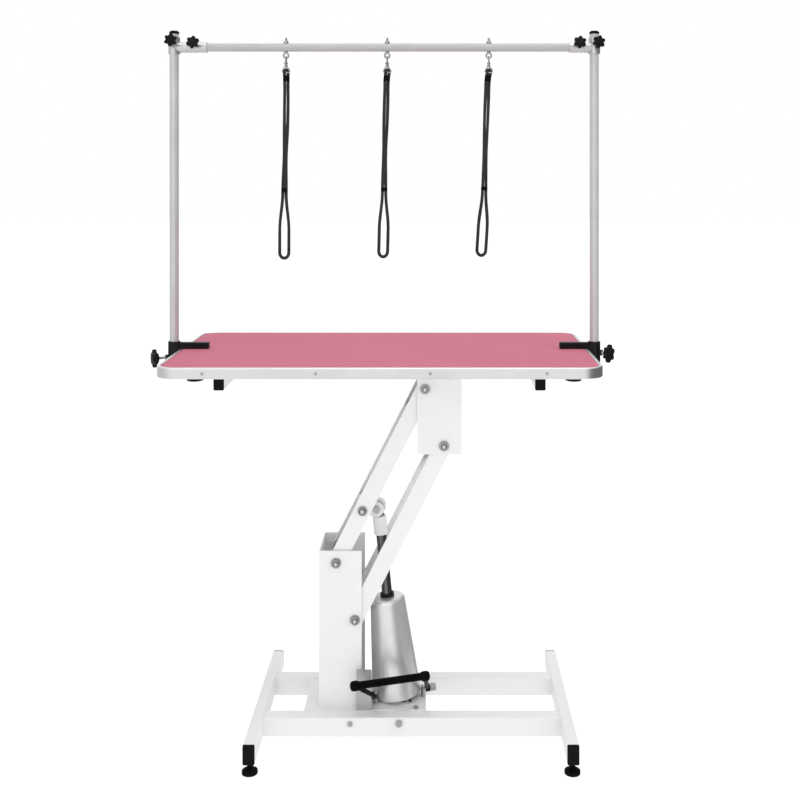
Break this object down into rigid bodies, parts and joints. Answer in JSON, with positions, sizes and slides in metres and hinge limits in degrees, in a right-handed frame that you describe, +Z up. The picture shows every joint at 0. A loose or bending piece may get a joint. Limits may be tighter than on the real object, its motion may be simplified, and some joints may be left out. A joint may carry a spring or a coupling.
{
  "type": "grooming table",
  "caption": "Hydraulic lifting pet grooming table: H base, parallel lifting arms with foot-pumped ram, ribbed rubber top and overhead arm with hanging nooses.",
  "frame": {"origin": "on the floor, under the middle of the tabletop with the lifting arms in the modelled position", "axes": "+X to the user's right along the long side of the top, +Y to the back, +Z up"},
  "size_m": [1.2662, 0.6032, 1.8945],
  "materials": {
    "frame_white": "gloss white powder coat",
    "post_tube": "satin grey tube",
    "fitting_steel": "satin",
    "zinc": "zinc-plated",
    "cover_chrome": "polished",
    "rod_dark": "ground dark steel",
    "cylinder_grey": "satin",
    "gland_black": "matt",
    "bush_bronze": "sintered bronze",
    "clamp_black": "satin black powder coat",
    "knob_black": "moulded",
    "cap_black": "moulded",
    "foot_rubber": "matt",
    "rim_aluminium": "satin anodised",
    "mat_pink": "ribbed matt",
    "board_wood": "board",
    "strap_black": "woven webbing",
    "bracket_grey": "satin"
  },
  "bodies": {
    "base": {"foot_rails": "frame_white", "cross_beams": "frame_white", "base_plate": "frame_white", "column": "frame_white", "rail_end_caps": "cap_black", "foot_nuts": "zinc", "column_bolts": "zinc", "beam_bolts": "zinc", "pedal_stop_bracket": "bracket_grey", "pump_mount": "bracket_grey", "pump_mount_pins": "zinc", "column_pivot_pins": "zinc"},
    "upper_link": {"upper_arm": "frame_white", "upper_arm_bushes": "bush_bronze", "lift_lugs": "frame_white", "lift_lug_pins": "zinc"},
    "lower_link": {"lower_arm": "frame_white", "lower_arm_bushes": "bush_bronze"},
    "table": {"platform_bracket": "frame_white", "platform_pivot_pins": "zinc", "table_frame": "frame_white", "frame_end_caps": "cap_black", "table_screws": "zinc", "tabletop_board": "board_wood", "rubber_mat": "mat_pink", "table_rim": "rim_aluminium", "rim_rivets": "zinc", "post_clamps": "clamp_black"},
    "clamp_screw_l": {"clamp_screw_left": "knob_black"},
    "clamp_screw_r": {"clamp_screw_right": "knob_black"},
    "clamp_knob_l": {"clamp_knob_left": "knob_black"},
    "clamp_knob_r": {"clamp_knob_right": "knob_black"},
    "overhead_posts": {"posts": "post_tube", "post_caps": "cap_black"},
    "overhead_bar": {"corner_fittings": "fitting_steel", "crossbar": "fitting_steel", "eyebolts": "zinc"},
    "knob_lp": {"corner_knob_left_post": "knob_black"},
    "knob_lb": {"corner_knob_left_bar": "knob_black"},
    "knob_rp": {"corner_knob_right_post": "knob_black"},
    "knob_rb": {"corner_knob_right_bar": "knob_black"},
    "hook_l": {"snap_hook_left": "zinc"},
    "hook_m": {"snap_hook_middle": "zinc"},
    "hook_r": {"snap_hook_right": "zinc"},
    "noose_l": {"noose_left": "strap_black"},
    "noose_m": {"noose_middle": "strap_black"},
    "noose_r": {"noose_right": "strap_black"},
    "pump": {"pump_cover": "cover_chrome", "pump_cylinder": "cylinder_grey", "pump_gland": "gland_black"},
    "ram_rod": {"pump_piston": "zinc", "lift_rod": "rod_dark", "rod_head": "frame_white"},
    "pedal_bail": {"pedal": "clamp_black"},
    "lev_front_left": {"foot_front_left": "foot_rubber"},
    "lev_front_right": {"foot_front_right": "foot_rubber"},
    "lev_rear_left": {"foot_rear_left": "foot_rubber"},
    "lev_rear_right": {"foot_rear_right": "foot_rubber"}
  },
  "joints": [
    {"name": "lift", "type": "hinge", "parent": "base", "child": "upper_link", "pos_m": [-0.1255, 0, 0.465], "axis": [0, 1, 0], "range_deg": [-3, 57]},
    {"name": "lower_arm_turn", "type": "hinge", "parent": "base", "child": "lower_link", "pos_m": [-0.075, 0, 0.313], "axis": [0, 1, 0], "range_deg": [-3, 57]},
    {"name": "table_level", "type": "hinge", "parent": "upper_link", "child": "table", "pos_m": [0.11211, 0, 0.92934], "axis": [0, 1, 0], "range_deg": [-57, 3]},
    {"name": "pump_tilt", "type": "hinge", "parent": "base", "child": "pump", "pos_m": [0.033, 0, 0.098], "axis": [0, 1, 0], "range_deg": [-1, 9]},
    {"name": "ram_slide", "type": "slide", "parent": "pump", "child": "ram_rod", "axis": [-0.0981, 0, 0.9952], "range_m": [-0.1495, 0.008]},
    {"name": "pedal_press", "type": "hinge", "parent": "base", "child": "pedal_bail", "pos_m": [0.042, -0.03, 0.1], "axis": [0.9563, 0.2924, 0], "range_deg": [0, 25], "stiffness_Nm_per_rad": 6},
    {"name": "post_height", "type": "slide", "parent": "table", "child": "overhead_posts", "axis": [0, 0, 1], "range_m": [-0.12, 0]},
    {"name": "crossbar_height", "type": "slide", "parent": "overhead_posts", "child": "overhead_bar", "axis": [0, 0, 1], "range_m": [-0.1, 0]},
    {"name": "clamp_screw_l_turn", "type": "hinge", "parent": "table", "child": "clamp_screw_l", "pos_m": [-0.518, 0, 0.945], "axis": [0, 0, 1], "range_deg": [-180, 180]},
    {"name": "clamp_screw_r_turn", "type": "hinge", "parent": "table", "child": "clamp_screw_r", "pos_m": [0.518, 0, 0.945], "axis": [0, 0, 1], "range_deg": [-180, 180]},
    {"name": "clamp_knob_l_turn", "type": "hinge", "parent": "table", "child": "clamp_knob_l", "pos_m": [-0.575, 0, 1.002], "axis": [-0.8829, -0.4695, 0], "range_deg": [-180, 180]},
    {"name": "clamp_knob_r_turn", "type": "hinge", "parent": "table", "child": "clamp_knob_r", "pos_m": [0.575, 0, 1.016], "axis": [0.766, -0.6428, 0], "range_deg": [-180, 180]},
    {"name": "corner_knob_lp_turn", "type": "hinge", "parent": "overhead_bar", "child": "knob_lp", "pos_m": [-0.575, 0, 1.866], "axis": [-0.0698, -0.9976, 0], "range_deg": [-180, 180]},
    {"name": "corner_knob_rp_turn", "type": "hinge", "parent": "overhead_bar", "child": "knob_rp", "pos_m": [0.575, 0, 1.861], "axis": [0.2419, -0.9703, 0], "range_deg": [-180, 180]},
    {"name": "corner_knob_lb_turn", "type": "hinge", "parent": "overhead_bar", "child": "knob_lb", "pos_m": [-0.518, 0, 1.849], "axis": [0, -0.9397, 0.342], "range_deg": [-180, 180]},
    {"name": "corner_knob_rb_turn", "type": "hinge", "parent": "overhead_bar", "child": "knob_rb", "pos_m": [0.532, 0, 1.849], "axis": [0, -0.9397, 0.342], "range_deg": [-180, 180]},
    {"name": "noose_swing_l", "type": "hinge", "parent": "overhead_bar", "child": "hook_l", "pos_m": [-0.269, 0, 1.82], "axis": [1, 0, 0], "range_deg": [-35, 35]},
    {"name": "noose_swivel_l", "type": "hinge", "parent": "hook_l", "child": "noose_l", "pos_m": [-0.269, 0, 1.79], "axis": [0, 0, 1], "range_deg": [-180, 180]},
    {"name": "noose_swing_m", "type": "hinge", "parent": "overhead_bar", "child": "hook_m", "pos_m": [0.008, 0, 1.82], "axis": [1, 0, 0], "range_deg": [-35, 35]},
    {"name": "noose_swivel_m", "type": "hinge", "parent": "hook_m", "child": "noose_m", "pos_m": [0.008, 0, 1.79], "axis": [0, 0, 1], "range_deg": [-180, 180]},
    {"name": "noose_swing_r", "type": "hinge", "parent": "overhead_bar", "child": "hook_r", "pos_m": [0.286, 0, 1.82], "axis": [1, 0, 0], "range_deg": [-35, 35]},
    {"name": "noose_swivel_r", "type": "hinge", "parent": "hook_r", "child": "noose_r", "pos_m": [0.286, 0, 1.79], "axis": [0, 0, 1], "range_deg": [-180, 180]},
    {"name": "lev_front_left_turn", "type": "hinge", "parent": "base", "child": "lev_front_left", "pos_m": [-0.327, -0.246, 0.02], "axis": [0, 0, 1], "range_deg": [-180, 180]},
    {"name": "lev_front_right_turn", "type": "hinge", "parent": "base", "child": "lev_front_right", "pos_m": [0.483, -0.246, 0.02], "axis": [0, 0, 1], "range_deg": [-180, 180]},
    {"name": "lev_rear_left_turn", "type": "hinge", "parent": "base", "child": "lev_rear_left", "pos_m": [-0.327, 0.246, 0.02], "axis": [0, 0, 1], "range_deg": [-180, 180]},
    {"name": "lev_rear_right_turn", "type": "hinge", "parent": "base", "child": "lev_rear_right", "pos_m": [0.483, 0.246, 0.02], "axis": [0, 0, 1], "range_deg": [-180, 180]}
  ],
  "couplings": [
    {"joint": "lower_arm_turn", "follows": "lift", "ratio": 1},
    {"joint": "table_level", "follows": "lift", "ratio": -1},
    {"joint": "pump_tilt", "follows": "lift", "ratio": 0.137},
    {"joint": "ram_slide", "follows": "lift", "m_per_rad": -0.15}
  ]
}
